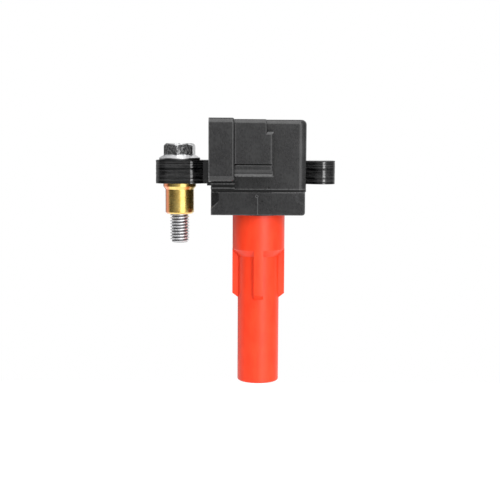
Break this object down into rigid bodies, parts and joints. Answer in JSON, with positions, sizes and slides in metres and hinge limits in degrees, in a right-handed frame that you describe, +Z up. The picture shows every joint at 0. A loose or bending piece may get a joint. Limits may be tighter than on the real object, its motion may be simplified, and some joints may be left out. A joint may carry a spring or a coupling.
{
  "type": "ignition coil",
  "caption": "Plug-top ignition coil: moulded case with side connector and laminated core lug, rubber boot with ribs, mounting sleeve and flanged bolt.",
  "frame": {"origin": "centre of the boot's mouth, at its bottom face", "axes": "+Z up the boot's axis towards the case, +X away from the mounting bolt, -Y towards the connector"},
  "size_m": [0.0737, 0.04, 0.1095],
  "materials": {
    "case_plastic": "fine grain, satin",
    "core_steel": "black painted laminations",
    "seal_rubber": "matt",
    "resin": "glossy cast epoxy",
    "sleeve_metal": "turned, yellow passivated",
    "terminal_metal": "tinned",
    "magnet": "matt sintered",
    "bobbin_plastic": "moulded",
    "winding_wire": "enamelled copper",
    "igniter_moulding": "moulded epoxy",
    "heat_sink_metal": "plain",
    "boot_rubber": "satin silicone",
    "resistor_ceramic": "ceramic rod",
    "spring_steel": "drawn wire",
    "bolt_steel": "bright zinc plate"
  },
  "bodies": {
    "coil": {"coil_case": "case_plastic", "core_frame": "core_steel", "core_seal_left": "seal_rubber", "core_seal_right": "seal_rubber", "potting_resin": "resin", "mounting_sleeve": "sleeve_metal", "power_terminal": "terminal_metal", "ground_terminal": "terminal_metal", "signal_terminal": "terminal_metal", "center_core": "core_steel", "bias_magnet": "magnet", "primary_bobbin": "bobbin_plastic", "primary_winding": "winding_wire", "secondary_bobbin": "bobbin_plastic", "secondary_winding": "winding_wire", "igniter_module": "igniter_moulding", "heat_sink": "heat_sink_metal", "primary_supply_lead": "terminal_metal", "primary_switched_lead": "terminal_metal", "secondary_low_lead": "terminal_metal", "high_voltage_lead": "terminal_metal", "rectifier_diode": "igniter_moulding", "high_voltage_terminal": "sleeve_metal"},
    "boot": {"plug_boot": "boot_rubber", "noise_resistor": "resistor_ceramic", "contact_spring": "spring_steel"},
    "contact": {"contact_cap": "sleeve_metal"},
    "bolt": {"mounting_bolt": "bolt_steel"}
  },
  "joints": [
    {"name": "boot_pull", "type": "slide", "parent": "coil", "child": "boot", "axis": [0, 0, -1], "range_m": [0, 0.02]},
    {"name": "contact_press", "type": "slide", "parent": "boot", "child": "contact", "axis": [0, 0, 1], "range_m": [0, 0.004], "stiffness_N_per_m": 500, "springref_m": -0.002, "deforming": ["contact_spring"]},
    {"name": "bolt_turn", "type": "hinge", "parent": "coil", "child": "bolt", "pos_m": [-0.0329, 0, 0.08775], "axis": [0, 0, 1], "continuous": true}
  ]
}
